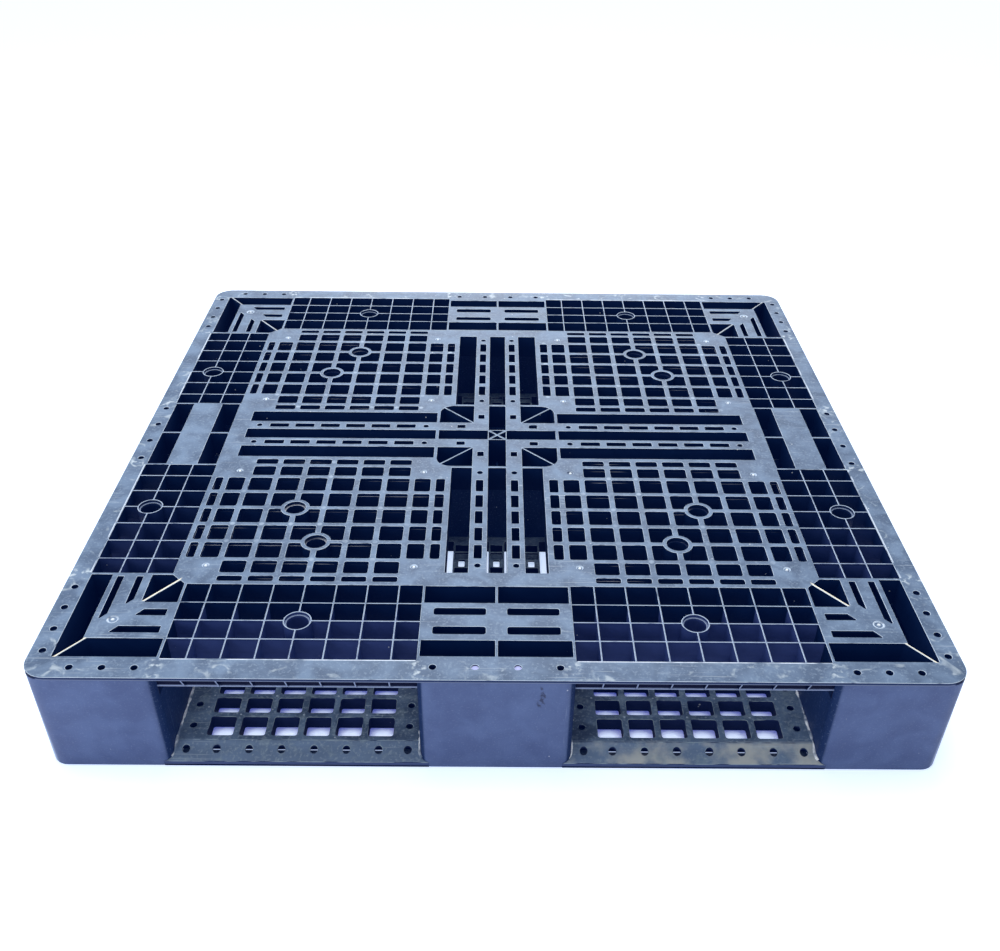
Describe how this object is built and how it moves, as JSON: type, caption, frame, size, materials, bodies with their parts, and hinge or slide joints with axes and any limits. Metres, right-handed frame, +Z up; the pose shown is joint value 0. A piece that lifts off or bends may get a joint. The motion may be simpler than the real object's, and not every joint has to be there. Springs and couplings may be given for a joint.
{
  "type": "plastic pallet",
  "caption": "Square four-way entry plastic pallet: open grid top deck on hollow legs, with a ramped grid bottom deck for fork lift and pallet truck handling.",
  "frame": {"origin": "on the ground under the centre of the square footprint", "axes": "+Z up; -Y is the front; +X is to the right as seen from the front"},
  "size_m": [1.1, 1.1, 0.15],
  "materials": {
    "deck_plastic": "dusty, scuffed moulded polyethylene",
    "leg_plastic": "smooth moulded polyethylene with faint mottling and small nicks",
    "base_plastic": "scratched, dirty moulded polyethylene"
  },
  "bodies": {
    "root": {"top_deck": "deck_plastic", "leg_front_left": "leg_plastic", "leg_front_centre": "leg_plastic", "leg_front_right": "leg_plastic", "leg_middle_left": "leg_plastic", "leg_centre": "leg_plastic", "leg_middle_right": "leg_plastic", "leg_rear_left": "leg_plastic", "leg_rear_centre": "leg_plastic", "leg_rear_right": "leg_plastic", "bottom_deck": "base_plastic"}
  },
  "joints": []
}
